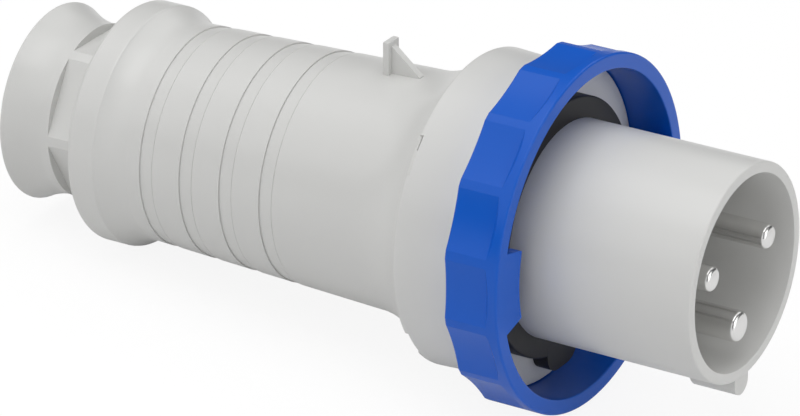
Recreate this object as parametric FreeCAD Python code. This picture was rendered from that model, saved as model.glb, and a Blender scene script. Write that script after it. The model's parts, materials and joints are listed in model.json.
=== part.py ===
"""Industrial pin and sleeve plug, 63 A, two poles and earth, watertight pattern.

Every piece is turned or cut about the plug's own axis. A station is a distance
behind the mouth of the sleeve, and an angle about the axis starts at the tab on
top and grows towards the left side, seen from the mouth. At the very end the
whole plug is laid down as it comes to rest on a table: two ridges of the locking
ring and the heel of the grip touch it, and the nose points slightly up.
"""
import FreeCAD, Part
import math
import os
from FreeCAD import Vector

# Sleeve
sleeve_r = 35.0
sleeve_wall = 3.55
sleeve_depth = 58.0
rim_round = 0.6

# Key under the mouth of the sleeve
key_width = 8.5
key_reach = 6.25
key_length = 17.4
key_slope = 1.8

# Flange that carries the gasket and keeps the locking ring, which runs on the land behind it
flange_station = 69.4
flange_clearance = 0.4
flange_height = 1.9
flange_thickness = 1.8
web_thickness = 3.6
shoulder_height = 0.9
shoulder_length = 2.0
stop_width = 6.0
stop_height = 1.5

# Collar behind the ring, which takes the front of the grip
collar_step = 0.2
collar_spread = 0.9
collar_wall = 3.6
collar_end = 95.4
collar_round = 1.2
latch_angles = (50.0, 128.0, -50.0, -128.0)
latch_notch_angle = 15.0
latch_notch_depth = 1.8
latch_lug_angle = 9.8
latch_lug_play = 0.2
latch_gap = 0.3

# Locking ring with finger scallops and two inner lugs
ring_front = 54.1
ring_length = 18.9
ring_over_sleeve = 22.5
ring_wall = 5.0
ring_round = 0.7
ring_bore_bevel = 0.35
ring_side_play = 0.2
lip_clearance = 0.08
scallop_count = 16
scallop_depth = 1.5
scallop_angle = 19.6
scallop_front = 58.5
lug_height = 9.1
lug_angle = 30.0
lug_thickness = 4.2
lug_ramp = 1.3
ring_turn = 55.0

# Flange gasket
gasket_width = 6.8
gasket_thickness = 5.4
gasket_round = 0.6
gasket_bead = 0.8
gasket_bead_edge = 0.4
gasket_bead_width = 4.0
gasket_clearance = 0.02
gasket_lobe_width = 18.6
gasket_lobe_height = 12.6
gasket_lobe_round = 6.5

# Contact carrier
carrier_clearance = 0.2
carrier_flange_width = 9.0
carrier_flange_thickness = 3.4
tower_wall = 2.2
tower_clearance = 0.1
pin_recess_depth = 1.0
pin_recess_margin = 2.4
carrier_screw_offset = 5.0
carrier_screw_r = 1.5
carrier_screw_head_r = 3.0
carrier_screw_head = 2.2
carrier_screw_bite = 2.8
carrier_screw_slot_width = 1.0
carrier_screw_slot_depth = 1.0
carrier_screw_angles = (90.0, -90.0)
carrier_seal_offset = 2.0
carrier_seal_cord = 0.9

# Pins, each with a thicker seat in the carrier and a terminal barrel
pin_circle = 18.45
pin_tip = 0.7
phase_pin_r = 4.0
earth_pin_r = 5.0
phase_angle = 75.0
earth_angle = 180.0
pin_seat_height = 0.5
pin_seat_proud = 0.4
barrel_over_pin = 3.0
barrel_bevel = 0.6
barrel_length = 24.0
barrel_bare = 6.0
barrel_end = 104.0
wire_bore_margin = 0.4
wire_bore_depth = 18.0
pin_tip_crown = 0.3
pin_tip_round = 1.5

# Terminal screws
terminal_screw_r = 2.5
terminal_screw_length = 6.5
terminal_screw_proud = 4.0
terminal_screw_inset = 7.5
terminal_screw_pitch = 8.0
terminal_slot_width = 0.9
terminal_slot_depth = 1.3
terminal_window = 3.4

# Grip
grip_front_station = 110.0
grip_front_r = 39.1
grip_rear_station = 203.5
grip_rear_r = 35.8
grip_wall = 3.2
spigot_front = 87.5
spigot_clearance = 0.25
spigot_floor = 1.0
grip_flange_step = 2.7
grip_flange_thickness = 1.2
flare_length = 20.7
flare_middle = 7.1
flare_middle_height = 3.8
groove_first = 152.2
groove_pitch = 15.23
groove_count = 4
groove_width = 4.6
groove_depth = 0.45
seal_cord_r = 1.3
seal_station = 91.6
seal_groove_width = 3.0

# Swelling at the rear of the grip
bulb_r = 39.5
bulb_front = 213.0
bulb_rear = 222.8
bulb_front_round = 0.9
bulb_cove_station = 208.8
bulb_cove_r = 36.8
bulb_rear_round = 0.8
bulb_face = 226.4
bulb_face_r = 30.5

# Hanging tab on top of the grip
tab_top = 49.4
tab_rear = 127.6
tab_plate = 2.1
tab_width = 6.3
tab_rib = 2.4
tab_rib_foot = 115.4

# Cable gland
gland_bore_r = 25.6
gland_clearance = 0.08
gland_seat = 190.0
gland_wall = 4.0
cable_r = 19.5
grommet_bore_r = 9.0
grommet_length = 15.0
grommet_play = 0.3
grommet_ring_width = 1.1
grommet_ring_depth = 1.2
grommet_ring_pitch = 3.6
washer_thickness = 2.5
washer_play = 0.2
nut_gap = 0.6
nut_body_r = 28.65
nut_across_flats = 51.2
nut_flats_end = 237.7
nut_waist_station = 240.5
nut_waist_r = 28.38
nut_flare_station = 247.2
nut_flare_r = 29.7
nut_end = 254.0
nut_end_r = 32.4
nut_rim = 1.3
nut_throat = 236.0
nut_throat_lead = 2.0
nut_throat_rise = 3.4

# Sizes that follow
sleeve_bore_r = sleeve_r - sleeve_wall
key_r = sleeve_r + key_reach
flange_back = flange_station + flange_thickness
web_back = flange_station + web_thickness
ring_rear = ring_front + ring_length
ring_r = sleeve_r + ring_over_sleeve
ring_bore_r = ring_r - ring_wall
lug_inner_r = ring_bore_r - lug_height
flange_r = ring_bore_r - flange_clearance
land_r = flange_r - flange_height
shoulder_station = ring_rear + 1.5 * ring_side_play
shoulder_end = shoulder_station + shoulder_length
lip_front = flange_back + ring_side_play
lip_r = land_r + lip_clearance
collar_front_r = land_r - collar_step
collar_rear_r = collar_front_r + collar_spread
collar_bore_r = land_r - collar_wall
spigot_r = collar_bore_r - spigot_clearance
seal_floor_r = collar_bore_r - 2 * seal_cord_r
spigot_bore_r = seal_floor_r - spigot_floor
grip_flange_r = collar_rear_r - grip_flange_step
gasket_r = sleeve_r + gasket_width
gasket_lobe_reach = sleeve_r + gasket_lobe_height
carrier_r = sleeve_bore_r - carrier_clearance
carrier_back = web_back + carrier_flange_thickness
carrier_flange_r = sleeve_r + carrier_flange_width
carrier_screw_circle = sleeve_r + carrier_screw_offset
carrier_seal_r = sleeve_r + carrier_seal_offset
recess_floor = sleeve_depth + pin_recess_depth
pin_seat = recess_floor - pin_seat_proud
pin_shoulder = barrel_end - barrel_length
tower_end = barrel_end - barrel_bare
terminal_screw_front = barrel_end - terminal_screw_inset - terminal_screw_pitch
terminal_screw_stations = (terminal_screw_front, terminal_screw_front + terminal_screw_pitch)
grommet_front = gland_seat + grommet_play
grommet_back = grommet_front + grommet_length
washer_front = grommet_back + washer_play
washer_back = washer_front + washer_thickness
nut_shank_r = gland_bore_r - gland_clearance
nut_body_front = bulb_face + nut_gap
grip_taper = (grip_front_r - grip_rear_r) / (grip_rear_station - grip_front_station)
flare_end = collar_end + flare_length

pins = {
    "phase_pin_left": (phase_angle, phase_pin_r),
    "phase_pin_right": (-phase_angle, phase_pin_r),
    "earth_pin": (earth_angle, earth_pin_r),
}


# Shaping tools

def spot(station, radius):
    """A point of a half section: distance behind the mouth, distance from the axis."""
    return Vector(-station, 0, radius)


def lathe(*outline):
    """A turned solid. Each entry is a point, or two points for an arc through the first to the second."""
    here = outline[0]
    edges = []
    for step in outline[1:] + (outline[0],):
        if isinstance(step[0], tuple):
            middle, end = step
            edges.append(Part.Arc(spot(*here), spot(*middle), spot(*end)).toShape())
        else:
            end = step
            edges.append(Part.makeLine(spot(*here), spot(*end)))
        here = end
    return Part.Face(Part.Wire(edges)).revolve(Vector(0, 0, 0), Vector(1, 0, 0), 360)


def corner(station, radius, size, back, out):
    """The middle of a quarter round whose square corner is at this station and radius."""
    inset = size * (1 - math.sqrt(0.5))
    return (station - back * inset, radius - out * inset)


def tube(front, back, outer, inner):
    return lathe((front, inner), (front, outer), (back, outer), (back, inner))


def rod(front, back, radius):
    return Part.makeCylinder(radius, back - front, Vector(-front, 0, 0), Vector(-1, 0, 0))


def turned(shape, angle):
    """A copy turned about the plug's axis, from the tab towards the left side."""
    copy = shape.copy()
    copy.rotate(Vector(0, 0, 0), Vector(1, 0, 0), angle)
    return copy


def lifted(shape, radius, angle):
    """A copy moved out to a radius at an angle."""
    copy = shape.copy()
    copy.translate(Vector(0, 0, radius))
    return turned(copy, angle)


def block(front, back, width, low, high):
    """A box that is centred on the tab's plane and lies between two heights over the axis."""
    return Part.makeBox(back - front, width, high - low, Vector(-back, -width / 2, low))


def sector(front, back, inner, outer, middle_angle, angle):
    """A piece of a tube that spans an angle about a middle angle."""
    section = Part.makePolygon([spot(front, inner), spot(front, outer), spot(back, outer),
                                spot(back, inner), spot(front, inner)])
    piece = Part.Face(section).revolve(Vector(0, 0, 0), Vector(1, 0, 0), angle)
    return turned(piece, middle_angle - angle / 2)


def plate(corners, depth):
    """A flat outline in the tab's plane, given thickness to both sides."""
    wire = Part.makePolygon([Vector(-b, -depth / 2, z) for b, z in corners + corners[:1]])
    return Part.Face(wire).extrude(Vector(0, depth, 0))


# Housing

def stadium(front, back, width, reach, root):
    """A straight rib that hangs below the axis and ends in a full round."""
    half = width / 2
    centre = reach - half
    edges = [
        Part.makeLine(Vector(0, -half, -root), Vector(0, -half, -centre)),
        Part.Arc(Vector(0, -half, -centre), Vector(0, 0, -reach), Vector(0, half, -centre)).toShape(),
        Part.makeLine(Vector(0, half, -centre), Vector(0, half, -root)),
        Part.makeLine(Vector(0, half, -root), Vector(0, -half, -root)),
    ]
    rib = Part.Face(Part.Wire(edges)).extrude(Vector(-(back - front), 0, 0))
    rib.translate(Vector(-front, 0, 0))
    return rib


def make_key():
    root = sleeve_r - sleeve_wall / 2
    rib = stadium(rim_round, key_length, key_width, key_r, root)
    slope_start = key_length - key_slope
    side = plate([(0, -root), (0, -key_r), (slope_start, -key_r), (key_length, -sleeve_r),
                  (key_length, -root)], key_width)
    return rib.common(side)


def make_housing():
    quarter = corner(0, sleeve_r, rim_round, -1, 1)
    heel = corner(collar_end, collar_rear_r, collar_round, 1, 1)
    body = lathe(
        (0, sleeve_bore_r),
        (0, sleeve_r - rim_round),
        (quarter, (rim_round, sleeve_r)),
        (flange_station, sleeve_r),
        (flange_station, flange_r),
        (flange_back, flange_r),
        (flange_back, land_r),
        (shoulder_station, land_r),
        (shoulder_station, land_r + shoulder_height),
        (shoulder_end, land_r + shoulder_height),
        (shoulder_end, collar_front_r),
        (collar_end - collar_round, collar_rear_r),
        (heel, (collar_end, collar_rear_r - collar_round)),
        (collar_end, collar_bore_r),
        (web_back, collar_bore_r),
        (web_back, sleeve_bore_r),
    )
    body = body.fuse(make_key())
    stops = [sector(flange_back - 0.5, shoulder_station + 0.5, land_r - 0.5, land_r + stop_height,
                    angle, stop_width)
             for angle in (0, 180)]
    body = body.fuse(stops).removeSplitter()
    notches = [sector(collar_end - latch_notch_depth, collar_end + 1, collar_bore_r - 1, collar_rear_r + 1,
                      angle, latch_notch_angle)
               for angle in latch_angles]
    pilot = rod(web_back - carrier_screw_bite - 0.2, web_back + 1, carrier_screw_r)
    pilots = [lifted(pilot, carrier_screw_circle, angle) for angle in carrier_screw_angles]
    return body.cut(notches + pilots)


# Locking ring

def scallop_cutter():
    """A round-nosed cutter with a 45 degree front, beside the ring."""
    half = math.radians(scallop_angle / 2)
    edge_height = ring_r * math.cos(half)
    edge_side = ring_r * math.sin(half)
    floor_r = ring_r - scallop_depth
    # The cutter's circle passes through both edges of the scallop and its floor.
    cutter_r = ((edge_height - floor_r) ** 2 + edge_side ** 2) / (2 * (edge_height - floor_r))
    centre = floor_r + cutter_r
    nose = Part.makeCone(cutter_r, cutter_r - 2 * scallop_depth, 2 * scallop_depth,
                         Vector(-scallop_front, 0, centre), Vector(1, 0, 0))
    body = Part.makeCylinder(cutter_r, ring_rear - scallop_front + 1,
                             Vector(-scallop_front, 0, centre), Vector(-1, 0, 0))
    reach = block(ring_front, ring_rear + 1, 3 * edge_side, floor_r - 1, ring_r + 3)
    return body.fuse(nose).common(reach)


def make_lug(angle):
    """An inner lug whose back rises as a ramp along the turn."""
    back = ring_front + lug_thickness
    lug = sector(ring_front, back + lug_ramp, lug_inner_r, ring_bore_r + 1, 0, lug_angle)
    width = 2 * lug_inner_r * math.sin(math.radians(lug_angle / 2))
    waste = block(0, 2 * lug_thickness, 2 * width, lug_inner_r - lug_height, ring_r)
    waste.rotate(Vector(0, 0, 0), Vector(0, 0, 1), math.degrees(math.atan(lug_ramp / width)))
    waste.translate(Vector(-back - lug_ramp / 2, 0, 0))
    return turned(lug.cut(waste), angle)


def make_ring():
    front = corner(ring_front, ring_r, ring_round, -1, 1)
    rear = corner(ring_rear, ring_r, ring_round, 1, 1)
    body = lathe(
        (ring_front, ring_bore_r + ring_bore_bevel),
        (ring_front, ring_r - ring_round),
        (front, (ring_front + ring_round, ring_r)),
        (ring_rear - ring_round, ring_r),
        (rear, (ring_rear, ring_r - ring_round)),
        (ring_rear, lip_r),
        (lip_front, lip_r),
        (lip_front, ring_bore_r),
        (ring_front + ring_bore_bevel, ring_bore_r),
    )
    cutter = scallop_cutter()
    pitch = 360 / scallop_count
    body = body.cut([turned(cutter, n * pitch) for n in range(scallop_count)])
    body = body.fuse([make_lug(90), make_lug(-90)])
    # Each stop on the land runs in a window of the lip, which sets how far the ring turns.
    window = ring_turn + stop_width + 1
    windows = [sector(lip_front - 1, ring_rear + 1, lip_r - 1, land_r + stop_height + 0.4,
                      angle - ring_turn / 2, window)
               for angle in (0, 180)]
    return body.cut(windows)


# Gasket

def make_gasket():
    front = flange_station - gasket_thickness
    inner = sleeve_r + gasket_clearance
    rim = corner(front, gasket_r, gasket_round, -1, 1)
    body = lathe(
        (front - gasket_bead, inner),
        (front - gasket_bead, inner + gasket_bead_edge),
        (front, inner + gasket_bead_width),
        (front, gasket_r - gasket_round),
        (rim, (front + gasket_round, gasket_r)),
        (flange_station, gasket_r),
        (flange_station, inner),
    )
    lobe = block(front, flange_station, gasket_lobe_width, -gasket_lobe_reach, -inner - 1)
    corners = [edge for edge in lobe.Edges
               if edge.BoundBox.XLength > 1 and edge.BoundBox.ZMax < -gasket_lobe_reach + 0.1]
    lobe = lobe.makeFillet(gasket_lobe_round, corners)
    return body.fuse(lobe).removeSplitter()


# Contact carrier and pins

def barrel_r(pin_r):
    return pin_r + barrel_over_pin


def make_carrier():
    body = lathe(
        (sleeve_depth, 0),
        (sleeve_depth, carrier_r),
        (web_back, carrier_r),
        (web_back, carrier_flange_r),
        (carrier_back, carrier_flange_r),
        (carrier_back, 0),
    )
    towers = [lifted(rod(web_back, tower_end, barrel_r(r) + tower_clearance + tower_wall),
                     pin_circle, angle)
              for angle, r in pins.values()]
    body = body.fuse(towers).removeSplitter()
    holes = []
    for angle, r in pins.values():
        room = barrel_r(r) + tower_clearance
        seat_room = r + pin_seat_height + tower_clearance / 2
        holes.append(lifted(rod(sleeve_depth, tower_end, seat_room), pin_circle, angle))
        holes.append(lifted(rod(pin_shoulder, tower_end + 1, room), pin_circle, angle))
        holes.append(lifted(rod(sleeve_depth - 1, recess_floor, r + pin_recess_margin), pin_circle, angle))
        # An open window on the outer side lets the driver reach the clamping screws.
        window = block(terminal_screw_stations[0] - terminal_window, tower_end + 1, 2 * terminal_window,
                       pin_circle, pin_circle + room + tower_wall + 1)
        holes.append(turned(window, angle))
    for angle in carrier_screw_angles:
        hole = rod(web_back - 1, carrier_back + 1, carrier_screw_r + 0.25)
        holes.append(lifted(hole, carrier_screw_circle, angle))
    groove_half = carrier_seal_cord + 0.05
    holes.append(tube(web_back - 1, web_back + 2 * carrier_seal_cord, carrier_seal_r + groove_half,
                      carrier_seal_r - groove_half))
    return body.cut(holes)


def make_pin(angle, radius):
    """A turned pin: rounded tip, free wall, thicker seat in the carrier, terminal barrel."""
    outer = barrel_r(radius)
    wire_r = radius + wire_bore_margin
    seat_r = radius + pin_seat_height
    crown_r = radius - pin_tip_round
    crown_edge = pin_tip + pin_tip_crown
    body = lathe(
        (pin_tip, 0),
        ((pin_tip + pin_tip_crown / 4, crown_r / 2), (crown_edge, crown_r)),
        (corner(crown_edge, radius, pin_tip_round, -1, 1), (crown_edge + pin_tip_round, radius)),
        (pin_seat, radius),
        (pin_seat, seat_r),
        (pin_shoulder, seat_r),
        (pin_shoulder, outer - barrel_bevel),
        (pin_shoulder + barrel_bevel, outer),
        (barrel_end - barrel_bevel, outer),
        (barrel_end, outer - barrel_bevel),
        (barrel_end, wire_r),
        (barrel_end - wire_bore_depth, wire_r),
        (barrel_end - wire_bore_depth, 0),
    )
    holes = [Part.makeCylinder(terminal_screw_r + 0.05, outer + 1, Vector(-station, 0, 0), Vector(0, 0, 1))
             for station in terminal_screw_stations]
    return lifted(body.cut(holes), pin_circle, angle)


def make_terminal_screw(station, angle, pin_r):
    """A slotted clamping screw in the wall of a terminal barrel."""
    top = pin_circle + barrel_r(pin_r) + terminal_screw_proud
    screw = Part.makeCylinder(terminal_screw_r, terminal_screw_length,
                              Vector(-station, 0, top - terminal_screw_length), Vector(0, 0, 1))
    slot = block(station - terminal_slot_width / 2, station + terminal_slot_width / 2, 4 * terminal_screw_r,
                 top - terminal_slot_depth, top + 1)
    return turned(screw.cut(slot), angle)


def make_carrier_screw(angle):
    shank = rod(web_back - carrier_screw_bite, carrier_back + 0.1, carrier_screw_r - 0.05)
    head = rod(carrier_back, carrier_back + carrier_screw_head, carrier_screw_head_r)
    head_end = carrier_back + carrier_screw_head
    slot = block(head_end - carrier_screw_slot_depth, head_end + 1, 3 * carrier_screw_head_r,
                 -carrier_screw_slot_width / 2, carrier_screw_slot_width / 2)
    return lifted(shank.fuse(head).removeSplitter().cut(slot), carrier_screw_circle, angle)


def cord_ring(station, radius, cord_r):
    return Part.makeTorus(radius, cord_r, Vector(-station, 0, 0), Vector(1, 0, 0))


# Grip

def grip_r(station):
    """Outside radius of the long cone of the grip."""
    return grip_front_r - grip_taper * (station - grip_front_station)


def grip_outline():
    """The outside of the grip from the spigot to the rear face, with its shallow grooves."""
    seal_front = seal_station - seal_groove_width / 2
    seal_back = seal_station + seal_groove_width / 2
    flange_end = collar_end + grip_flange_thickness
    middle = collar_end + flare_middle
    points = [
        (spigot_front, spigot_r),
        (seal_front, spigot_r),
        (seal_front, seal_floor_r),
        (seal_back, seal_floor_r),
        (seal_back, spigot_r),
        (collar_end, spigot_r),
        (collar_end, grip_flange_r),
        (flange_end, grip_flange_r),
        ((middle, grip_r(middle) + flare_middle_height), (flare_end, grip_r(flare_end))),
    ]
    for n in range(groove_count):
        wall = groove_first + n * groove_pitch
        front = wall - groove_width
        points += [
            (front, grip_r(front)),
            (wall, grip_r(wall) - groove_depth),
            (wall, grip_r(wall)),
        ]
    # A hollow curve leads up to the swelling, whose front edge is softly rounded.
    swell = bulb_r - bulb_front_round / 2
    crown = bulb_front + bulb_front_round
    points += [
        (grip_rear_station, grip_r(grip_rear_station)),
        ((bulb_cove_station, bulb_cove_r), (bulb_front, swell)),
        ((bulb_front + 0.35, bulb_r - 0.13), (crown, bulb_r)),
        (bulb_rear - bulb_rear_round, bulb_r),
        (corner(bulb_rear, bulb_r, bulb_rear_round, 1, 1), (bulb_rear, bulb_r - bulb_rear_round)),
        (bulb_face, bulb_face_r),
    ]
    return points


def make_tab():
    """A plate across the grip with a rib that braces it towards the nose."""
    foot = grip_r(tab_rear) - grip_wall / 2
    plate_front = tab_rear - tab_plate
    across = block(plate_front, tab_rear, tab_width, foot, tab_top)
    rib_foot = grip_r(tab_rib_foot)
    rib_front = tab_rib_foot - 0.6
    rib = plate([(tab_rear, foot), (tab_rear, tab_top), (plate_front, tab_top),
                 (tab_rib_foot, rib_foot + 0.4), (rib_front, rib_foot - 0.2), (rib_front, foot)], tab_rib)
    return across.fuse(rib)


def make_grip():
    cavity_front = collar_end + 1.5
    cavity_back = gland_seat - gland_wall
    inside = [
        (bulb_face, gland_bore_r),
        (gland_seat, gland_bore_r),
        (gland_seat, cable_r),
        (cavity_back, cable_r),
        (cavity_back, grip_r(cavity_back) - grip_wall),
        (flare_end, grip_r(flare_end) - grip_wall),
        (cavity_front, spigot_bore_r),
        (spigot_front, spigot_bore_r),
    ]
    shell = lathe(*(grip_outline() + inside))
    # A lug of the flange fills the lower part of each notch in the collar, as after the locking turn.
    lug_front = collar_end - latch_notch_depth + latch_gap
    shift = (latch_notch_angle - latch_lug_angle) / 2 - latch_lug_play
    lugs = [sector(lug_front, collar_end + 0.5, spigot_r - 1, grip_flange_r, angle + shift, latch_lug_angle)
            for angle in latch_angles]
    return shell.fuse(lugs + [make_tab()]).removeSplitter()


# Cable gland

def make_nut():
    body = lathe(
        (washer_back, cable_r),
        (washer_back, nut_shank_r - 0.8),
        (washer_back + 0.8, nut_shank_r),
        (nut_body_front, nut_shank_r),
        (nut_body_front, nut_body_r),
        (nut_flats_end, nut_body_r),
        (nut_waist_station, nut_waist_r),
        ((nut_flare_station, nut_flare_r), (nut_end - nut_rim / 2, nut_end_r)),
        ((nut_end, nut_end_r - nut_rim / 2), (nut_end - nut_rim / 2, nut_end_r - nut_rim)),
        ((nut_flare_station - nut_throat_lead, cable_r + nut_throat_rise), (nut_throat, cable_r)),
    )
    flat_height = nut_across_flats / 2
    waste = block(nut_body_front - 1, nut_flats_end, 3 * nut_body_r, flat_height, 2 * nut_body_r)
    return body.cut([turned(waste, n * 60) for n in range(6)])


def make_washer():
    return tube(washer_front, washer_back, nut_shank_r, cable_r)


def make_grommet():
    """A rubber ring with cutting grooves that fit it to thicker cables."""
    outer = gland_bore_r - 0.2
    body = tube(grommet_front, grommet_back, outer, grommet_bore_r)
    grooves = [tube(grommet_back - grommet_ring_depth, grommet_back + 1, inner + grommet_ring_width, inner)
               for inner in [grommet_bore_r + n * grommet_ring_pitch for n in (1, 2, 3)]]
    return body.cut(grooves)


# The whole plug, piece by piece
parts = {
    "front_housing": make_housing(),
    "locking_ring": make_ring(),
    "flange_gasket": make_gasket(),
    "contact_carrier": make_carrier(),
    "carrier_seal": cord_ring(web_back + carrier_seal_cord, carrier_seal_r, carrier_seal_cord - 0.02),
    "grip": make_grip(),
    "grip_seal": cord_ring(seal_station, collar_bore_r - seal_cord_r, seal_cord_r - 0.02),
    "gland_grommet": make_grommet(),
    "gland_washer": make_washer(),
    "gland_nut": make_nut(),
}
for pin_name, (pin_angle, pin_radius) in pins.items():
    parts[pin_name] = make_pin(pin_angle, pin_radius)
    for number, screw_station in enumerate(terminal_screw_stations, 1):
        screw_name = pin_name.replace("pin", "terminal_screw") + "_" + str(number)
        parts[screw_name] = make_terminal_screw(screw_station, pin_angle, pin_radius)
for side, screw_angle in zip(("left", "right"), carrier_screw_angles):
    parts["carrier_screw_" + side] = make_carrier_screw(screw_angle)

# The plug lies on the two ridges nearest the bottom of the ring and on the heel of the grip.
ridge_angle = math.radians(scallop_angle / 2)
ridge_drop = (ring_r - ring_round * 0.3) * math.cos(ridge_angle)
ridge_station = ring_rear - ring_round * 0.7
heel_drop = bulb_r - bulb_rear_round * 0.3
heel_station = bulb_rear - bulb_rear_round * 0.7
rest_tilt = math.degrees(math.atan((ridge_drop - heel_drop) / (heel_station - ridge_station)))
for shape in parts.values():
    shape.rotate(Vector(0, 0, 0), Vector(0, 1, 0), -rest_tilt)
whole = Part.makeCompound(list(parts.values()))
box = whole.optimalBoundingBox(False, False)
base = Vector(-box.Center.x, -box.Center.y, -box.ZMin)

os.makedirs("parts", exist_ok=True)
for node, shape in parts.items():
    shape.translate(base)
    shape.exportStep("parts/" + node + ".step")
    print(node, shape.ShapeType, len(shape.Solids), shape.isValid(), round(shape.Volume), len(shape.Faces))
print("rest tilt", round(rest_tilt, 4), "mouth centre", base, "size", box.XLength, box.YLength, box.ZLength)
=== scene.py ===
import json
import math

import bmesh
import bpy
from mathutils import Matrix, Vector


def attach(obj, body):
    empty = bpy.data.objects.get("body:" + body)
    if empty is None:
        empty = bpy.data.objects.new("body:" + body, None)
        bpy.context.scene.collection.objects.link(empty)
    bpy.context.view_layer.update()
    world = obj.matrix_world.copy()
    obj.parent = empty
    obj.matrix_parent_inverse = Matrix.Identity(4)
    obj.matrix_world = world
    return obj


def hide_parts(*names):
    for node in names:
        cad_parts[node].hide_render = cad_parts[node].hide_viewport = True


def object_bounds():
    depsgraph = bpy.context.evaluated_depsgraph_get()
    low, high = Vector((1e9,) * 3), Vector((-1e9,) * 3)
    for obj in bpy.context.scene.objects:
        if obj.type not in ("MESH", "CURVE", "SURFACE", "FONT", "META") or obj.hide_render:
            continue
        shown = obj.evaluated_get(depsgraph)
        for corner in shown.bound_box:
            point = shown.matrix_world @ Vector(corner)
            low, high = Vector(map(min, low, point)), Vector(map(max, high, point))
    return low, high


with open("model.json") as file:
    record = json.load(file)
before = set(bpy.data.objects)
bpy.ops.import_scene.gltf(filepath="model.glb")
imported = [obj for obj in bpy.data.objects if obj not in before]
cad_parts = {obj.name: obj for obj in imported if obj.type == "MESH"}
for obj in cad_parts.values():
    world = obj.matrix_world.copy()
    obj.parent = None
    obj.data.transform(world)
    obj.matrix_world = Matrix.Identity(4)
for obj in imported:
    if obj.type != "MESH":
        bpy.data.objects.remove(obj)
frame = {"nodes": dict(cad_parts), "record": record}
solid_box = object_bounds()

# Front housing: sleeve, flange and collar.
# One injection moulding in light grey plastic. The sleeve guides the plug into its
# socket, the flange carries the gasket, and the grip is locked into the collar.

# The pieces are modelled in millimetres, with the mouth of the sleeve at the origin, and
# laid down with the plug at the end. A station is a distance behind the mouth. An angle
# about the plug's axis starts at the tab on top and grows to the left, seen from the front.
sleeve_mount = next(m for m in frame["record"]["mounts"] if m["name"] == "sleeve")
sleeve_mount_station = 31.0
plug_axis = Vector(sleeve_mount["axis"])
plug_side = Vector((0, 1, 0))
mouth_centre = Vector(sleeve_mount["pos_m"]) + plug_axis * sleeve_mount_station / 1000
lay = Matrix((plug_axis, plug_side, plug_axis.cross(plug_side))).transposed().to_4x4()
lay_down = Matrix.Translation(mouth_centre) @ lay @ Matrix.Scale(0.001, 4)

merge_distance = 0.0005
near = 0.01

sleeve_r = 35.0
sleeve_bore_r = 31.45
sleeve_rim_round = 0.6
sleeve_bore_round = 0.25
key_width = 8.5
key_reach = 41.25
key_length = 17.4
key_slope = 1.8
flange_station = 69.4
flange_back = 71.2
flange_r = 52.1
flange_round = 0.3
land_r = 50.2
shoulder_station = 73.3
shoulder_end = 75.3
shoulder_r = 51.1
collar_front_r = 50.0
collar_notch_r = 50.85
collar_rear_r = 50.9
collar_bore_r = 46.6
collar_end = 95.4
collar_round = 1.2
collar_bore_round = 0.3
web_back = 73.0
notch_angles = (50, 128, 232, 310)
notch_width_angle = 15
notch_depth = 1.8
notch_floor = collar_end - notch_depth


def turned_skin(outline, sweeps, start=0, closed=True):
    """A skin spun about the plug's axis from points of station and radius.

    Each sweep is an angle in degrees and the number of its steps.
    """
    skin = bmesh.new()
    points = [skin.verts.new((-station, 0, radius)) for station, radius in outline]
    bmesh.ops.rotate(skin, verts=points, cent=(0, 0, 0),
                     matrix=Matrix.Rotation(math.radians(start), 3, "X"))
    following = points[1:] + points[:1] if closed else points[1:]
    front = points + [skin.edges.new(pair) for pair in zip(points, following)]
    for degrees, steps in sweeps:
        turn = bmesh.ops.spin(skin, geom=front, cent=(0, 0, 0), axis=(1, 0, 0),
                              angle=math.radians(degrees), steps=steps, use_merge=degrees == 360)
        front = turn["geom_last"]
    bmesh.ops.remove_doubles(skin, verts=skin.verts, dist=merge_distance)
    bmesh.ops.recalc_face_normals(skin, faces=skin.faces)
    return skin


def station_of(vert):
    return -vert.co.x


def radius_of(vert):
    return math.hypot(vert.co.y, vert.co.z)


def angle_of(vert):
    return math.degrees(math.atan2(-vert.co.y, vert.co.z)) % 360


def from_nearest(angle, pitch=360):
    """The signed angle from the nearest whole number of pitches."""
    return (angle + pitch / 2) % pitch - pitch / 2


def round_edges(skin, edges, size, segments):
    """Rounds some edges of a skin."""
    bmesh.ops.bevel(skin, geom=edges, offset=size, offset_type="OFFSET", affect="EDGES",
                    segments=segments, profile=0.5, material=-1, clamp_overlap=True)


def round_rim(skin, station, radius, size, segments=4):
    """Rounds the circular edge at a station and radius."""
    def on_rim(vert):
        return abs(station_of(vert) - station) < near and abs(radius_of(vert) - radius) < near
    rim = [edge for edge in skin.edges if all(on_rim(v) for v in edge.verts)]
    round_edges(skin, rim, size, segments)


def moulded_block(skin, front, back, width, low, high):
    """Adds a block to a skin, between two stations and two heights over the axis."""
    block = bmesh.ops.create_cube(skin, size=1)["verts"]
    bmesh.ops.scale(skin, verts=block, vec=(back - front, width, high - low))
    bmesh.ops.translate(skin, verts=block, vec=(-(front + back) / 2, 0, (low + high) / 2))
    return block


def edges_of(skin, block):
    """The edges of a block that was added to a skin."""
    corners = set(block)
    return [edge for edge in skin.edges if corners.issuperset(edge.verts)]


def lower_long_edges(skin, block):
    """The two edges under a block that run along the plug."""
    bottom = min(vert.co.z for vert in block)
    return [edge for edge in edges_of(skin, block)
            if all(v.co.z < bottom + near for v in edge.verts)
            and abs(edge.verts[0].co.x - edge.verts[1].co.x) > near]


def finished(skin, name, body, material, node, crease=30):
    """Lays the skin down with the plug, shades it and puts it on its body for a CAD node."""
    bmesh.ops.recalc_face_normals(skin, faces=skin.faces)
    skin.transform(lay_down)
    mesh = bpy.data.meshes.new(name)
    skin.to_mesh(mesh)
    skin.free()
    mesh.shade_smooth()
    mesh.set_sharp_from_angle(angle=math.radians(crease))
    mesh.materials.append(material)
    piece = bpy.data.objects.new(name, mesh)
    bpy.context.scene.collection.objects.link(piece)
    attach(piece, body)
    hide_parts(node)


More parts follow.
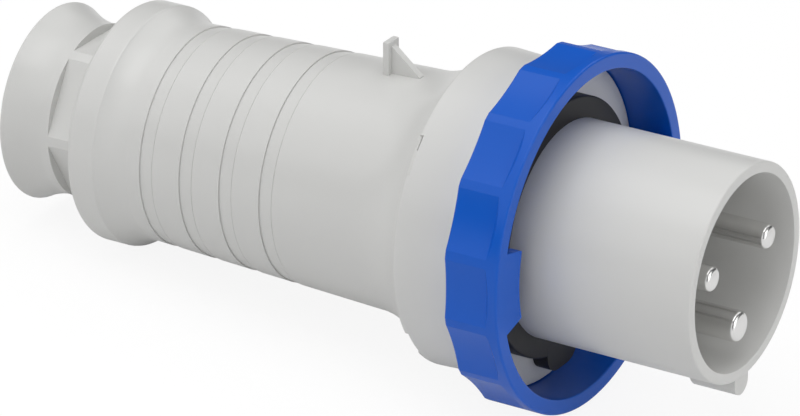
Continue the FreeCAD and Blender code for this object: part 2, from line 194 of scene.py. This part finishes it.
def clouded_material(name, colour, tints, roughness, polish, cloud_scale, cloud_detail):
    """A material whose colour and roughness drift in clouds between two shares of themselves."""
    material = bpy.data.materials.new(name)
    material.use_nodes = True
    nodes = material.node_tree.nodes
    join = material.node_tree.links.new
    shader = nodes["Principled BSDF"]
    where = nodes.new("ShaderNodeTexCoord")
    clouds = nodes.new("ShaderNodeTexNoise")
    clouds.inputs["Scale"].default_value = cloud_scale
    clouds.inputs["Detail"].default_value = cloud_detail
    join(where.outputs["Object"], clouds.inputs["Vector"])
    tint = nodes.new("ShaderNodeMix")
    tint.data_type = "RGBA"
    for end, share in zip("AB", tints):
        tint.inputs[end].default_value = [min(1, c * share) for c in colour] + [1]
    join(clouds.outputs["Fac"], tint.inputs["Factor"])
    join(tint.outputs["Result"], shader.inputs["Base Color"])
    spread = nodes.new("ShaderNodeMapRange")
    for end, share in zip(("To Min", "To Max"), polish):
        spread.inputs[end].default_value = roughness * share
    join(clouds.outputs["Fac"], spread.inputs["Value"])
    join(spread.outputs["Result"], shader.inputs["Roughness"])
    return material


def add_relief(material, pattern, strength, height):
    """Lays a pattern node over the piece and lets it dent the surface."""
    nodes = material.node_tree.nodes
    join = material.node_tree.links.new
    join(nodes["Texture Coordinate"].outputs["Object"], pattern.inputs["Vector"])
    bump = nodes.new("ShaderNodeBump")
    bump.inputs["Strength"].default_value = strength
    bump.inputs["Distance"].default_value = height
    join(pattern.outputs["Fac"], bump.inputs["Height"])
    join(bump.outputs["Normal"], nodes["Principled BSDF"].inputs["Normal"])


def moulded_plastic(name, colour, roughness, cloud, grain, shine=0.5):
    """Moulded plastic: faint flow clouds in the colour and a fine eroded grain in the skin."""
    material = clouded_material(name, colour, (1 - cloud, 1 + cloud), roughness, (0.93, 1.07),
                                cloud_scale=22, cloud_detail=4)
    nodes = material.node_tree.nodes
    nodes["Principled BSDF"].inputs["Specular IOR Level"].default_value = shine
    spark = nodes.new("ShaderNodeTexNoise")
    spark.inputs["Scale"].default_value = 2600
    spark.inputs["Detail"].default_value = 2
    add_relief(material, spark, strength=grain, height=0.00004)
    return material


light_grey = moulded_plastic("light grey moulding", (0.69, 0.69, 0.675), 0.3, 0.012, 0.18)

# The steps of one degree start at half a degree, so that the notches' ends fall on them.
housing = turned_skin([
    (0, sleeve_bore_r),
    (0, sleeve_r),
    (flange_station, sleeve_r),
    (flange_station, flange_r),
    (flange_back, flange_r),
    (flange_back, land_r),
    (shoulder_station, land_r),
    (shoulder_station, shoulder_r),
    (shoulder_end, shoulder_r),
    (shoulder_end, collar_front_r),
    (notch_floor, collar_notch_r),
    (collar_end, collar_rear_r),
    (collar_end, collar_bore_r),
    (notch_floor, collar_bore_r),
    (web_back, collar_bore_r),
    (web_back, sleeve_bore_r),
], sweeps=((360, 360),), start=0.5)
round_rim(housing, 0, sleeve_r, sleeve_rim_round)
round_rim(housing, 0, sleeve_bore_r, sleeve_bore_round, segments=2)
round_rim(housing, flange_station, flange_r, flange_round, segments=2)
round_rim(housing, collar_end, collar_rear_r, collar_round, segments=6)
round_rim(housing, collar_end, collar_bore_r, collar_bore_round, segments=2)


def in_notch(vert, middle):
    turn = from_nearest(angle_of(vert) - middle)
    return station_of(vert) > notch_floor - near and abs(turn) < notch_width_angle / 2 + near


# Each latch notch is an opening in the collar's rear edge, closed again by a floor and two walls.
for middle in notch_angles:
    lifted = [face for face in housing.faces if all(in_notch(v, middle) for v in face.verts)]
    bmesh.ops.delete(housing, geom=lifted, context="FACES")
    floor_edges = [edge for edge in housing.edges if edge.is_boundary
                   and all(abs(station_of(v) - notch_floor) < near for v in edge.verts)]
    bmesh.ops.bridge_loops(housing, edges=floor_edges)
    wall_edges = [edge for edge in housing.edges if edge.is_boundary]
    bmesh.ops.holes_fill(housing, edges=wall_edges, sides=0)

# The key under the mouth: a straight rib with a full round and a sloping rear end.
key_root = (sleeve_r + sleeve_bore_r) / 2
key_round = key_width / 2 - 0.01
key = moulded_block(housing, sleeve_rim_round, key_length, key_width, -key_reach, -key_root)
key_edges = lower_long_edges(housing, key)
for vert in key:
    if station_of(vert) > key_length - near and vert.co.z < -sleeve_r:
        vert.co.x += key_slope
round_edges(housing, key_edges, key_round, segments=14)
finished(housing, "housing_moulding", "plug", light_grey, "front_housing")

# Flange gasket.
# A black elastomer ring that is pushed over the sleeve against the flange. It seals the
# plug in its socket, and a round-cornered lobe below sits in line with the key.
gasket_bore_r = sleeve_r + 0.02
gasket_lip = 0.4
gasket_cone_r = 39.0
gasket_r = 41.8
gasket_front = 64.0
gasket_bead = 0.8
gasket_round = 0.6
lobe_front = gasket_front - 0.02
lobe_root = 36.0
lobe_width = 18.6
lobe_reach = 47.6
lobe_round = 6.5

black_rubber = moulded_plastic("black elastomer", (0.0165, 0.0165, 0.0185), 0.55, 0.12, 0.5, shine=0.45)
gasket = turned_skin([
    (gasket_front - gasket_bead, gasket_bore_r),
    (gasket_front - gasket_bead, gasket_bore_r + gasket_lip),
    (gasket_front, gasket_cone_r),
    (gasket_front, gasket_r),
    (flange_station, gasket_r),
    (flange_station, gasket_bore_r),
], sweeps=((360, 180),))
round_rim(gasket, gasket_front, gasket_r, gasket_round)
lobe = moulded_block(gasket, lobe_front, flange_station, lobe_width, -lobe_reach, -lobe_root)
round_edges(gasket, lower_long_edges(gasket, lobe), lobe_round, segments=10)
finished(gasket, "gasket_moulding", "plug", black_rubber, "flange_gasket")

# Contact carrier and its seal.
# A glass-filled insulator behind the sleeve, which holds the pins and shows only as the
# dim end wall between them. It sits on a cord seal and is held by two screws.
carrier_grey = moulded_plastic("carrier grey", (0.17, 0.17, 0.165), 0.5, 0.05, 0.35)


def refinish(node, material):
    """Gives a solid that keeps its own shape a better surface."""
    mesh = frame["nodes"][node].data
    mesh.materials.clear()
    mesh.materials.append(material)


refinish("contact_carrier", carrier_grey)
refinish("carrier_seal", black_rubber)

# Pins.
# Two phase pins and a thicker earth pin, each turned from brass in one piece with its
# terminal barrel and plated bright. The terminals' screws are plated with zinc.
phase_pin_r = 4.0
phase_pin_angle = 75
earth_pin_r = 5.0
earth_pin_angle = 180
pin_circle = 18.45
pin_tip = 0.7
pin_tip_crown = 0.3
pin_tip_round = 1.5
pin_seat = 58.6
pin_seat_height = 0.5
pin_shoulder = 80.0
barrel_over_pin = 3.0
barrel_bevel = 0.6
barrel_end = 104.0
wire_bore_margin = 0.4
wire_bore_depth = 18.0


def plated_metal(name, colour, roughness, scratch):
    """Bright plating over turned metal: slight clouding and fine rings from the lathe."""
    material = clouded_material(name, colour, (0.95, 1.03), roughness, (0.95, 1.1),
                                cloud_scale=60, cloud_detail=5)
    nodes = material.node_tree.nodes
    nodes["Principled BSDF"].inputs["Metallic"].default_value = 1
    lathe_marks = nodes.new("ShaderNodeTexWave")
    lathe_marks.bands_direction = "X"
    lathe_marks.inputs["Scale"].default_value = 900
    lathe_marks.inputs["Distortion"].default_value = 1.5
    add_relief(material, lathe_marks, strength=scratch, height=0.00002)
    return material


nickel_plate = plated_metal("nickel plate", (0.87, 0.865, 0.855), 0.25, 0.02)
zinc_plate = plated_metal("zinc plate", (0.62, 0.63, 0.65), 0.34, 0.1)


def arc(start, middle, end, count):
    """Points of a circle's arc from start to end through middle, without its start."""
    a, b, c = (Vector(p) for p in (start, middle, end))
    ab, ac = b - a, c - a
    d = 2 * (ab.x * ac.y - ab.y * ac.x)
    centre = a + Vector((ac.y * ab.length_squared - ab.y * ac.length_squared,
                         ab.x * ac.length_squared - ac.x * ab.length_squared)) / d
    spoke = a - centre
    sweep = spoke.angle_signed(c - centre)
    return [tuple(centre + Matrix.Rotation(-sweep * n / count, 2) @ spoke) for n in range(1, count + 1)]


def turned_pin(node, angle, radius):
    """A pin with a rounded tip, its thicker seat in the carrier and its terminal barrel."""
    seat_r = radius + pin_seat_height
    barrel_r = radius + barrel_over_pin
    wire_r = radius + wire_bore_margin
    wire_bore_end = barrel_end - wire_bore_depth
    tip = (pin_tip, 0)
    crown_r = radius - pin_tip_round
    crown_middle = (pin_tip + pin_tip_crown / 4, crown_r / 2)
    crown_edge = (pin_tip + pin_tip_crown, crown_r)
    slant = pin_tip_round * (1 - math.sqrt(0.5))
    round_middle = (crown_edge[0] + slant, radius - slant)
    round_end = (crown_edge[0] + pin_tip_round, radius)
    outline = [
        tip,
        *arc(tip, crown_middle, crown_edge, 8),
        *arc(crown_edge, round_middle, round_end, 10),
        (pin_seat, radius),
        (pin_seat, seat_r),
        (pin_shoulder, seat_r),
        (pin_shoulder, barrel_r - barrel_bevel),
        (pin_shoulder + barrel_bevel, barrel_r),
        (barrel_end - barrel_bevel, barrel_r),
        (barrel_end, barrel_r - barrel_bevel),
        (barrel_end, wire_r),
        (wire_bore_end, wire_r),
        (wire_bore_end, 0),
    ]
    pin = turned_skin(outline, sweeps=((360, 96),), closed=False)
    turn = math.radians(angle)
    place = (0, -pin_circle * math.sin(turn), pin_circle * math.cos(turn))
    bmesh.ops.translate(pin, verts=pin.verts, vec=place)
    finished(pin, node + "_turned", "plug", nickel_plate, node)


turned_pin("phase_pin_left", phase_pin_angle, phase_pin_r)
turned_pin("phase_pin_right", -phase_pin_angle, phase_pin_r)
turned_pin("earth_pin", earth_pin_angle, earth_pin_r)
for node in frame["nodes"]:
    if "screw" in node:
        refinish(node, zinc_plate)

# Locking ring.
# A blue ring that turns on the housing between flange and shoulder. Sixteen finger
# scallops give it grip, and two inner lugs pull the plug into its socket.
ring_front = 54.1
ring_rear = 73.0
ring_r = 57.5
ring_bore_r = 52.5
ring_lip_front = 71.4
ring_lip_r = 50.28
ring_round = 0.7
ring_bore_round = 0.35
scallop_count = 16
scallop_angle = 19.6
scallop_depth = 1.5
scallop_front = 58.5
scallop_row = scallop_front - 2
lug_angles = (90, 270)
lug_inner_r = 43.4
lug_root_r = ring_bore_r + 0.6
lug_front = ring_front + 0.01
lug_angle = 30
lug_thickness = 4.2
lug_ramp = 1.3
lug_round = 0.3
lug_sharp_angle = 0.8

ring_blue = moulded_plastic("ring blue", (0.002, 0.101, 0.565), 0.26, 0.02, 0.08, shine=0.33)
scallop_pitch = 360 / scallop_count
scallop_half = scallop_angle / 2
floor_r = ring_r - scallop_depth
edge_height = ring_r * math.cos(math.radians(scallop_half))
edge_side = ring_r * math.sin(math.radians(scallop_half))
cutter_r = ((edge_height - floor_r) ** 2 + edge_side ** 2) / (2 * (edge_height - floor_r))


def scallop_cut(angle):
    """How deep the scallops lie under the ring's full radius at an angle about the axis."""
    turn = from_nearest(angle, scallop_pitch)
    if abs(turn) > scallop_half - 0.001:
        return 0
    cutter_axis_r = floor_r + cutter_r
    away = cutter_axis_r * math.sin(math.radians(turn))
    return ring_r - cutter_axis_r * math.cos(math.radians(turn)) + math.sqrt(cutter_r ** 2 - away ** 2)


ring = turned_skin([
    (ring_front, ring_bore_r),
    (ring_front, ring_r),
    (scallop_row, ring_r),
    (scallop_front, ring_r),
    (ring_rear, ring_r),
    (ring_rear, ring_lip_r),
    (ring_lip_front, ring_lip_r),
    (ring_lip_front, ring_bore_r),
], sweeps=((scallop_angle, 14), (scallop_pitch - scallop_angle, 3)) * scallop_count, start=-scallop_half)
for vert in ring.verts:
    cut = scallop_cut(angle_of(vert))
    if radius_of(vert) < ring_r - near or station_of(vert) < ring_front + near:
        continue
    if abs(station_of(vert) - scallop_row) < near:
        # The front of each scallop rises at 45 degrees to the plain band.
        vert.co.x = -(scallop_front - cut)
    else:
        vert.co.yz = vert.co.yz * (ring_r - cut) / ring_r
bmesh.ops.remove_doubles(ring, verts=ring.verts, dist=merge_distance)
rear_edges = [edge for edge in ring.edges
              if all(abs(station_of(v) - ring_rear) < near and radius_of(v) > ring_bore_r
                     for v in edge.verts)]
round_edges(ring, rear_edges, ring_round, segments=3)
round_rim(ring, ring_front, ring_r, ring_round)
round_rim(ring, ring_front, ring_bore_r, ring_bore_round, segments=2)


def add_lug(skin, front, back, inner, outer, middle, span, edge_round, ramp=0, fall=0):
    """Adds a lug that spans an angle about the axis.

    Its back may ramp along the turn, and its top may fall towards the back.
    """
    corners = [(front, inner), (front, outer), (back, outer - fall), (back, inner)]
    lug = turned_skin(corners, sweeps=((span, 20),), start=middle - span / 2)
    open_ends = [edge for edge in lug.edges if edge.is_boundary]
    bmesh.ops.holes_fill(lug, edges=open_ends, sides=0)
    for vert in lug.verts:
        if station_of(vert) > back - near:
            along = from_nearest(angle_of(vert) - middle)
            vert.co.x -= ramp * (0.5 + along / span)
    sharp = [edge for edge in lug.edges if edge.calc_face_angle(0) > lug_sharp_angle]
    round_edges(lug, sharp, edge_round, segments=2)
    mesh = bpy.data.meshes.new("lug")
    lug.to_mesh(mesh)
    lug.free()
    skin.from_mesh(mesh)
    bpy.data.meshes.remove(mesh)


for middle in lug_angles:
    add_lug(ring, front=lug_front, back=ring_front + lug_thickness, inner=lug_inner_r, outer=lug_root_r,
            middle=middle, span=lug_angle, edge_round=lug_round, ramp=lug_ramp)
finished(ring, "ring_moulding", "ring", ring_blue, "locking_ring", crease=6)

# Grip.
# A long hollow moulding in the housing's light grey, which is turned into the collar and
# latched there. It has four shallow grooves, a swelling at the rear and a hanging tab.
grip_front_station = 110.0
grip_front_r = 39.1
grip_rear_station = 203.5
grip_rear_r = 35.8
grip_wall = 3.2
grip_flange_r = 48.2
grip_flange_end = 96.6
grip_flange_round = 0.25
flange_fall = 0.5
spigot_front = 87.5
spigot_r = 46.35
spigot_bore_r = 43.0
spigot_bore_end = 96.9
flare_middle = (102.5, 43.165)
flare_end = 116.1
groove_walls = (152.2, 167.43, 182.66, 197.89)
groove_width = 4.9
groove_depth = 0.45
groove_crease = 0.22
groove_lip = 0.22
bulb_r = 39.5
bulb_cove = (208.8, 36.8)
bulb_front = (213.0, 39.05)
bulb_edge = (213.35, 39.37)
bulb_crown = 213.9
bulb_rear = 222.8
bulb_rear_round = 1.1
bulb_face = 226.4
bulb_face_r = 30.5
gland_bore_r = 25.6
gland_seat = 190.0
gland_wall = 4.0
cable_r = 19.5
tab_rear = 127.6
tab_plate = 2.1
tab_width = 6.3
tab_top = 49.4
tab_round = 0.2
tab_rib = 2.4
tab_rib_toe = 115.4
tab_rib_toe_height = 0.4
tab_rib_undercut = 0.6
tab_rib_inset = 0.2
tab_rib_drop = 0.02
latch_lug_angle = 9.8
latch_lug_rise = 0.6
latch_lug_front = notch_floor + 0.05
latch_lug_back = collar_end + 0.5
latch_lug_root_r = spigot_r - 1
latch_lug_round = 0.1
latch_shift = 2.4


def grip_r(station):
    """The radius of the grip's cone at a station."""
    slope = (grip_front_r - grip_rear_r) / (grip_rear_station - grip_front_station)
    return grip_front_r - slope * (station - grip_front_station)


outline = [
    (spigot_front, spigot_bore_r),
    (spigot_front, spigot_r),
    (collar_end, spigot_r),
    (collar_end, grip_flange_r),
    (grip_flange_end, grip_flange_r - flange_fall),
]
outline += arc(outline[-1], flare_middle, (flare_end, grip_r(flare_end)), 16)
for wall in groove_walls:
    # Each groove slopes down to a small wall, with a fine crease at its front and at the wall's foot.
    groove_r = grip_r(wall) - groove_depth
    lip = wall - groove_width
    outline += [
        (lip - groove_lip / 2, grip_r(lip)),
        (lip, grip_r(lip) - groove_lip),
        (lip + groove_lip / 2, grip_r(lip) - groove_lip / 8),
        (wall - groove_crease, groove_r),
        (wall - groove_crease / 2, groove_r - groove_crease),
        (wall, groove_r),
        (wall, grip_r(wall)),
    ]
outline.append((grip_rear_station, grip_rear_r))
outline += arc(outline[-1], bulb_cove, bulb_front, 12)
outline += [
    bulb_edge,
    (bulb_crown, bulb_r),
    (bulb_rear, bulb_r),
    (bulb_face, bulb_face_r),
    (bulb_face, gland_bore_r),
    (gland_seat, gland_bore_r),
    (gland_seat, cable_r),
    (gland_seat - gland_wall, cable_r),
    (gland_seat - gland_wall, grip_r(gland_seat) - grip_wall),
    (flare_end, grip_r(flare_end) - grip_wall),
    (spigot_bore_end, spigot_bore_r),
]
grip = turned_skin(outline, sweeps=((360, 300),))
round_rim(grip, bulb_rear, bulb_r, bulb_rear_round, segments=6)
round_rim(grip, collar_end, grip_flange_r, grip_flange_round, segments=2)

# The tab on top is a plate with a rib before it, whose top slopes down to its toe on the grip.
tab_root = grip_r(tab_rear) - grip_wall / 2
tab_front = tab_rear - tab_plate
rib_rear = tab_rear - tab_rib_inset
rib_top = tab_top - tab_rib_drop
plate = moulded_block(grip, tab_front, tab_rear, tab_width, tab_root, tab_top)
rib = moulded_block(grip, tab_rib_toe, rib_rear, tab_rib, tab_root, rib_top)
for vert in rib:
    if station_of(vert) < tab_rib_toe + near:
        if vert.co.z > tab_root + near:
            vert.co.z = grip_r(tab_rib_toe) + tab_rib_toe_height
        else:
            vert.co.x += tab_rib_undercut
tab_edges = [edge for edge in edges_of(grip, plate) if any(v.co.z > tab_root + near for v in edge.verts)]
round_edges(grip, tab_edges, tab_round, segments=2)

# A lug of the flange stands in each notch of the collar, which it has reached by the locking turn.
for middle in notch_angles:
    add_lug(grip, front=latch_lug_front, back=latch_lug_back, inner=latch_lug_root_r,
            outer=grip_flange_r + latch_lug_rise, middle=middle + latch_shift, span=latch_lug_angle,
            edge_round=latch_lug_round, fall=latch_lug_rise + flange_fall / 2)
finished(grip, "grip_moulding", "plug", light_grey, "grip", crease=4)
refinish("grip_seal", black_rubber)

# Cable gland: grommet, thrust washer and nut.
# The nut screws into the grip and presses the washer on the rubber grommet, which grips
# the cable. Its outer end flares like a trumpet so that the cable can bend round it.
nut_shank_front = 208.0
nut_shank_r = 25.52
nut_shank_chamfer = 0.8
nut_body_front = 227.0
nut_body_r = 28.65
nut_across_flats = 51.2
nut_flat_count = 6
nut_flats_end = 237.7
nut_flats_gap = 0.01
nut_flats_row = nut_flats_end - nut_flats_gap
nut_waist = (240.5, 28.38)
nut_flare = (247.2, 29.7)
nut_end = 254.0
nut_end_r = 32.4
nut_rim = 1.3
nut_crest = (nut_end - nut_rim / 2, nut_end_r)
nut_brim = (nut_end, nut_end_r - nut_rim / 2)
nut_lip = (nut_end - nut_rim / 2, nut_end_r - nut_rim)
nut_funnel = (245.2, 22.9)
nut_throat = 236.0

refinish("gland_grommet", black_rubber)
refinish("gland_washer", carrier_grey)
nut_flat_pitch = 360 / nut_flat_count
flat_angle = 2 * math.degrees(math.acos(nut_across_flats / 2 / nut_body_r))
nut = turned_skin([
    (nut_shank_front, cable_r),
    (nut_shank_front, nut_shank_r - nut_shank_chamfer),
    (nut_shank_front + nut_shank_chamfer, nut_shank_r),
    (nut_body_front, nut_shank_r),
    (nut_body_front, nut_body_r),
    (nut_flats_row, nut_body_r),
    (nut_flats_end, nut_body_r),
    nut_waist,
    *arc(nut_waist, nut_flare, nut_crest, 12),
    *arc(nut_crest, nut_brim, nut_lip, 6),
    *arc(nut_lip, nut_funnel, (nut_throat, cable_r), 12),
], sweeps=((flat_angle, 24), (nut_flat_pitch - flat_angle, 6)) * nut_flat_count, start=-flat_angle / 2)
# The flats are pressed into the body, and end in a step at the full radius.
for vert in nut.verts:
    turn = from_nearest(angle_of(vert), nut_flat_pitch)
    flat_r = nut_across_flats / 2 / math.cos(math.radians(turn))
    on_body = nut_body_front - near < station_of(vert) < nut_flats_end - nut_flats_gap / 2
    if on_body and radius_of(vert) > nut_body_r - near and flat_r < nut_body_r:
        vert.co.yz = vert.co.yz * flat_r / nut_body_r
    if abs(station_of(vert) - nut_flats_row) < nut_flats_gap / 10:
        vert.co.x = -nut_flats_end
bmesh.ops.remove_doubles(nut, verts=nut.verts, dist=merge_distance)
finished(nut, "nut_moulding", "nut", light_grey, "gland_nut", crease=12)

# Room: floor, light and camera.
# A plain pale floor that runs on behind the plug, six soft lamps around it, and a camera
# at the photograph's viewing angle.
scene = bpy.context.scene
scene.view_settings.view_transform = "Standard"
floor_size = 12.0
floor_white = (0.8, 0.8, 0.8, 1)
floor_glow = 1.05
floor_camera_share = 0.85
floor_gloss_share = 0.2
dome_strength = 0.1
white = (1, 1, 1, 1)

floor_skin = bmesh.new()
bmesh.ops.create_grid(floor_skin, x_segments=1, y_segments=1, size=floor_size / 2)
floor_mesh = bpy.data.meshes.new("floor")
floor_skin.to_mesh(floor_mesh)
floor_skin.free()
floor = bpy.data.objects.new("floor", floor_mesh)
scene.collection.objects.link(floor)

# The floor glows white for the most part where the camera sees it, and a little where gloss
# mirrors it. The rest is lit, so the plug's shadow stays on it.
paper = bpy.data.materials.new("white paper")
paper.use_nodes = True
nodes = paper.node_tree.nodes
join = paper.node_tree.links.new
shader = nodes["Principled BSDF"]
shader.inputs["Base Color"].default_value = floor_white
shader.inputs["Roughness"].default_value = 0.9
shader.inputs["Specular IOR Level"].default_value = 0.1
glow = nodes.new("ShaderNodeEmission")
glow.inputs["Color"].default_value = white
glow.inputs["Strength"].default_value = floor_glow
ray = nodes.new("ShaderNodeLightPath")
mirrored = nodes.new("ShaderNodeMath")
mirrored.operation = "MULTIPLY"
mirrored.inputs[1].default_value = floor_gloss_share
join(ray.outputs["Is Glossy Ray"], mirrored.inputs[0])
share = nodes.new("ShaderNodeMath")
share.operation = "MULTIPLY_ADD"
share.inputs[1].default_value = floor_camera_share
join(ray.outputs["Is Camera Ray"], share.inputs[0])
join(mirrored.outputs[0], share.inputs[2])
blend = nodes.new("ShaderNodeMixShader")
join(share.outputs[0], blend.inputs["Fac"])
join(shader.outputs["BSDF"], blend.inputs[1])
join(glow.outputs["Emission"], blend.inputs[2])
join(blend.outputs["Shader"], nodes["Material Output"].inputs["Surface"])
floor_mesh.materials.append(paper)

# The sky is a dim dome for the plug and white for the camera.
world = bpy.data.worlds.new("studio")
scene.world = world
world.use_nodes = True
nodes = world.node_tree.nodes
join = world.node_tree.links.new
dome = nodes["Background"]
dome.inputs["Color"].default_value = white
dome.inputs["Strength"].default_value = dome_strength
backdrop = nodes.new("ShaderNodeBackground")
backdrop.inputs["Color"].default_value = white
ray = nodes.new("ShaderNodeLightPath")
blend = nodes.new("ShaderNodeMixShader")
join(ray.outputs["Is Camera Ray"], blend.inputs["Fac"])
join(dome.outputs["Background"], blend.inputs[1])
join(backdrop.outputs["Background"], blend.inputs[2])
join(blend.outputs["Shader"], nodes["World Output"].inputs["Surface"])

plug_middle = (solid_box[0] + solid_box[1]) / 2
lamp_distance = 1.6


def softbox(name, azimuth, elevation, size, power):
    """A square lamp that faces the plug. Azimuth 0 is on the camera's side, along -Y."""
    a, e = math.radians(azimuth), math.radians(elevation)
    away = Vector((math.sin(a) * math.cos(e), -math.cos(a) * math.cos(e), math.sin(e)))
    lamp = bpy.data.lights.new(name, "AREA")
    lamp.size = size
    lamp.energy = power
    holder = bpy.data.objects.new(name, lamp)
    facing = away.to_track_quat("Z", "Y").to_matrix().to_4x4()
    holder.matrix_world = Matrix.Translation(plug_middle + away * lamp_distance) @ facing
    scene.collection.objects.link(holder)


softbox("overhead", azimuth=0, elevation=80, size=1.3, power=9.5)
softbox("left", azimuth=-50, elevation=50, size=2.2, power=12.4)
softbox("rear_left", azimuth=-105, elevation=38, size=1.3, power=2.2)
softbox("right", azimuth=90, elevation=20, size=1.3, power=9.2)
softbox("front", azimuth=10, elevation=20, size=1.3, power=4.0)
softbox("behind", azimuth=180, elevation=50, size=1.3, power=5.3)

# The camera's place and directions were measured in the plug's own frame.
camera_place = Vector((806.08, -1507.65, 807.88))
camera_right = Vector((0.85199, 0.52355, -0.00321))
camera_down = Vector((0.21646, -0.35781, -0.90836))
camera_forward = Vector((-0.47672, 0.77322, -0.41818))
camera_data = bpy.data.cameras.new("camera")
camera_data.sensor_width = 36
camera_data.lens = 279.07
camera_data.clip_start = 0.1
camera_data.clip_end = 50
camera = bpy.data.objects.new("camera", camera_data)
view = Matrix((camera_right, -camera_down, -camera_forward)).transposed().to_4x4()
camera.matrix_world = Matrix.Translation(lay_down @ camera_place) @ lay @ view
scene.collection.objects.link(camera)
scene.camera = camera
